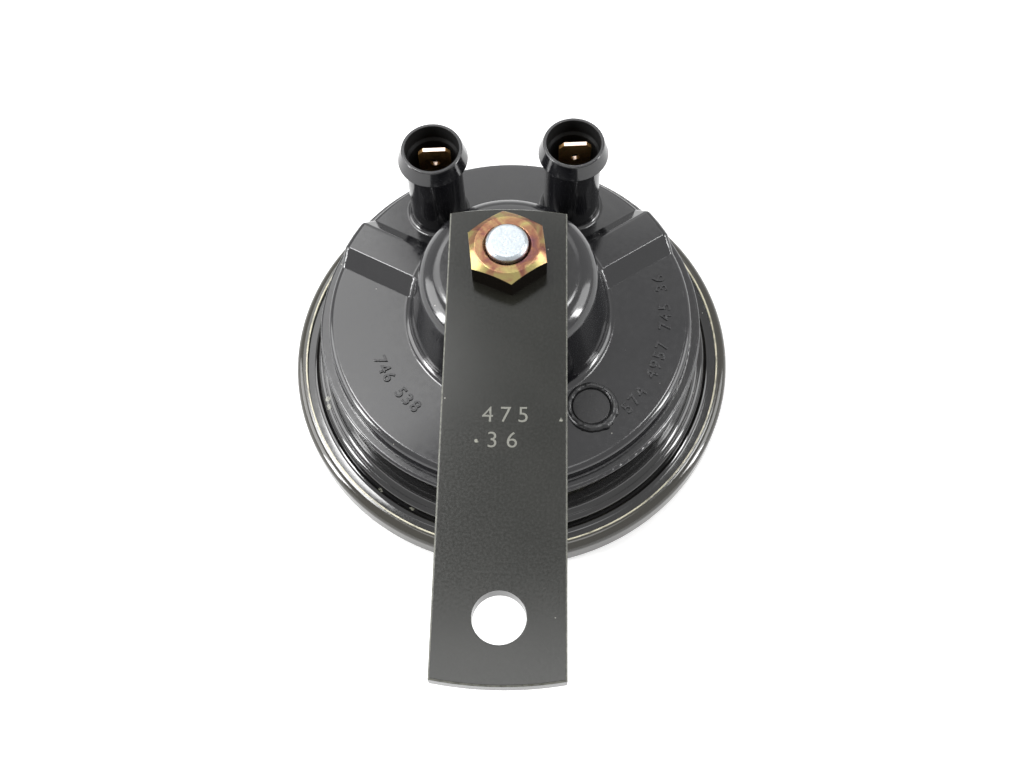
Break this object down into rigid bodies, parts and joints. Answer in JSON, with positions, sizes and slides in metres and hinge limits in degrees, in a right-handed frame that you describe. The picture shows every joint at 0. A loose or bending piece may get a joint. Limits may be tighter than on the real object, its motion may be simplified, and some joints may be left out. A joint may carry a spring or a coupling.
{
  "type": "car horn",
  "caption": "Electric disc horn: pressed steel body with a rolled front ring, a moulded rear cover with collared terminal sockets, and a flat strap bracket with a mounting hole.",
  "frame": {"origin": "centre of the bracket's mounting hole on the bracket's rear face", "axes": "+Z out of the bracket's rear face, parallel to the horn's axis, away from the sounding face; +Y along the strap from the mounting hole towards the horn; +X completes the right-handed frame"},
  "size_m": [0.0918, 0.1247, 0.0501],
  "materials": {
    "moulding": "gloss black moulded plastic",
    "seal_rubber": "soft black rubber",
    "black_enamel": "gloss black paint on pressed steel",
    "ring_paint": "semi-gloss dark paint on rolled steel",
    "gasket": "fibre gasket",
    "spring_steel": "rolled spring steel",
    "plain_steel": "plain turned or pressed steel",
    "disc_paint": "semi-gloss black paint on pressed steel",
    "zinc_steel": "blue-white zinc on turned steel",
    "nylon": "natural nylon",
    "copper": "enamelled copper wire",
    "phenolic": "brown phenolic laminate",
    "spring_bronze": "rolled spring bronze",
    "tungsten": "ground tungsten",
    "screw_steel": "blackened steel",
    "sealant": "cured black sealant",
    "resistor_enamel": "vitreous enamel",
    "terminal_brass": "rolled brass strip",
    "lead_insulation": "black insulated wire",
    "bracket_coating": "semi-gloss black coating on cut flat bar",
    "yellow_zinc": "yellow passivated zinc on a steel nut"
  },
  "bodies": {
    "housing": {"rear_cover": "moulding", "cover_seal": "seal_rubber", "body_shell": "black_enamel", "front_ring": "ring_paint", "rear_gasket": "gasket", "front_gasket": "gasket", "diaphragm": "spring_steel", "core_stud": "zinc_steel", "yoke_cup": "plain_steel", "coil_bobbin": "nylon", "coil_winding": "copper", "insulator_upper": "phenolic", "insulator_middle": "phenolic", "insulator_lower": "phenolic", "moving_contact_arm": "spring_bronze", "fixed_contact_arm": "spring_bronze", "breaker_clamp_plate": "plain_steel", "breaker_rivets": "plain_steel", "moving_contact": "tungsten", "fixed_contact": "tungsten", "trip_button": "phenolic", "adjusting_screw": "screw_steel", "adjuster_nut": "plain_steel", "adjuster_sealant": "sealant", "arc_resistor": "resistor_enamel", "terminal_left": "terminal_brass", "terminal_right": "terminal_brass", "terminal_insulator": "phenolic", "terminal_bushes": "nylon", "terminal_rivets": "terminal_brass", "coil_lead_terminal": "copper", "coil_lead_breaker": "copper", "breaker_lead": "lead_insulation", "mounting_bracket": "bracket_coating", "mounting_nut": "yellow_zinc"},
    "striker": {"armature": "plain_steel", "inner_washer": "plain_steel", "tone_disc_spacer": "plain_steel", "tone_disc": "disc_paint", "centre_washer": "plain_steel"}
  },
  "joints": [
    {"name": "striker_slide", "type": "slide", "parent": "housing", "child": "striker", "axis": [0, 0, 1], "range_m": [-0.0004, 0.0005], "stiffness_N_per_m": 3000, "springref_m": 0.00015, "deforming": ["diaphragm", "moving_contact_arm", "moving_contact", "trip_button"]}
  ]
}
